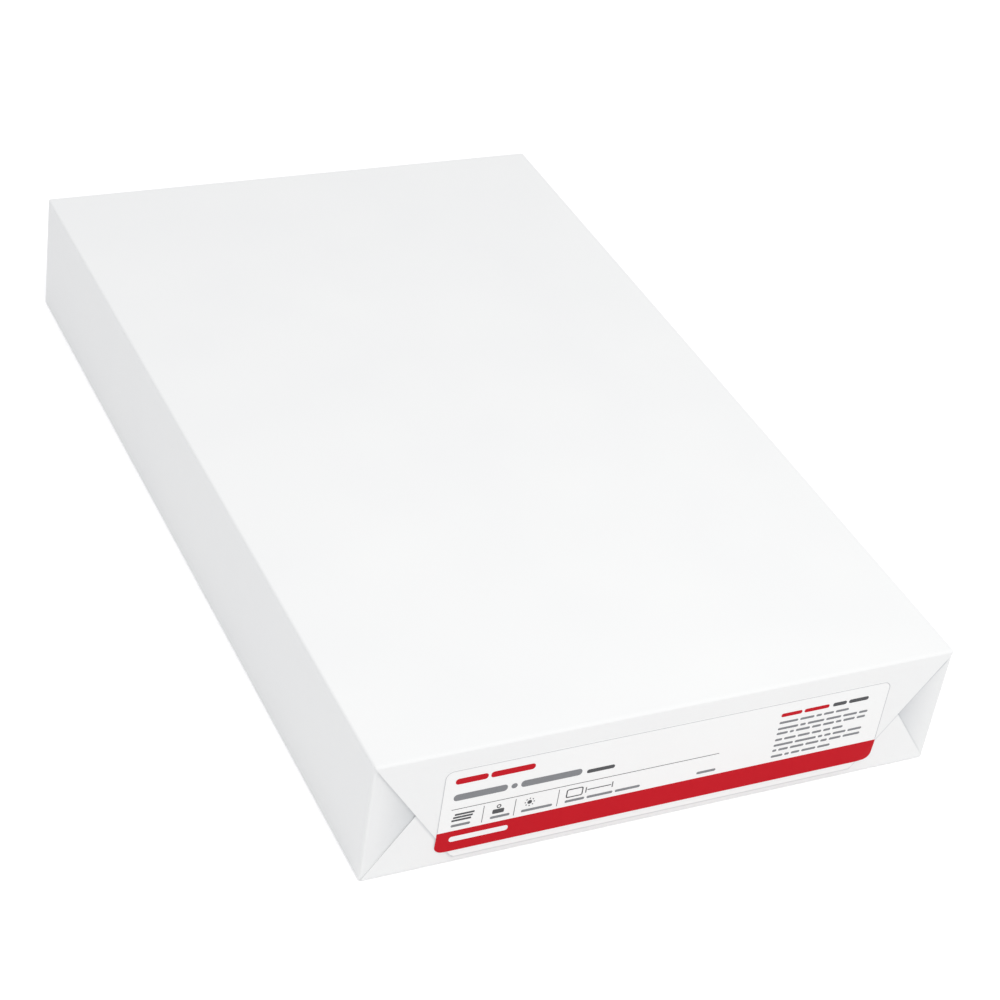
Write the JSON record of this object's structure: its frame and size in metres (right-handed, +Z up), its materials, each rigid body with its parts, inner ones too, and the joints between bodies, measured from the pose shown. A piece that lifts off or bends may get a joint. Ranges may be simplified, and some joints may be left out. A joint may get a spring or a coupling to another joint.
{
  "type": "ream of paper",
  "caption": "Sealed flat pack of legal-size copy paper in a white folded wrapper, with a printed paper label across one end.",
  "frame": {"origin": "middle of the underside", "axes": "+X across the sheets, to the right when facing the label; +Y along the sheets, away from the labelled end; +Z up"},
  "size_m": [0.2162, 0.3573, 0.0494],
  "materials": {
    "wrapper": "smooth white coated paper with a faint sheen",
    "label": "smooth matt paper with red and grey print"
  },
  "bodies": {
    "root": {"wrapped_ream": "wrapper", "end_label": "label"}
  },
  "joints": []
}
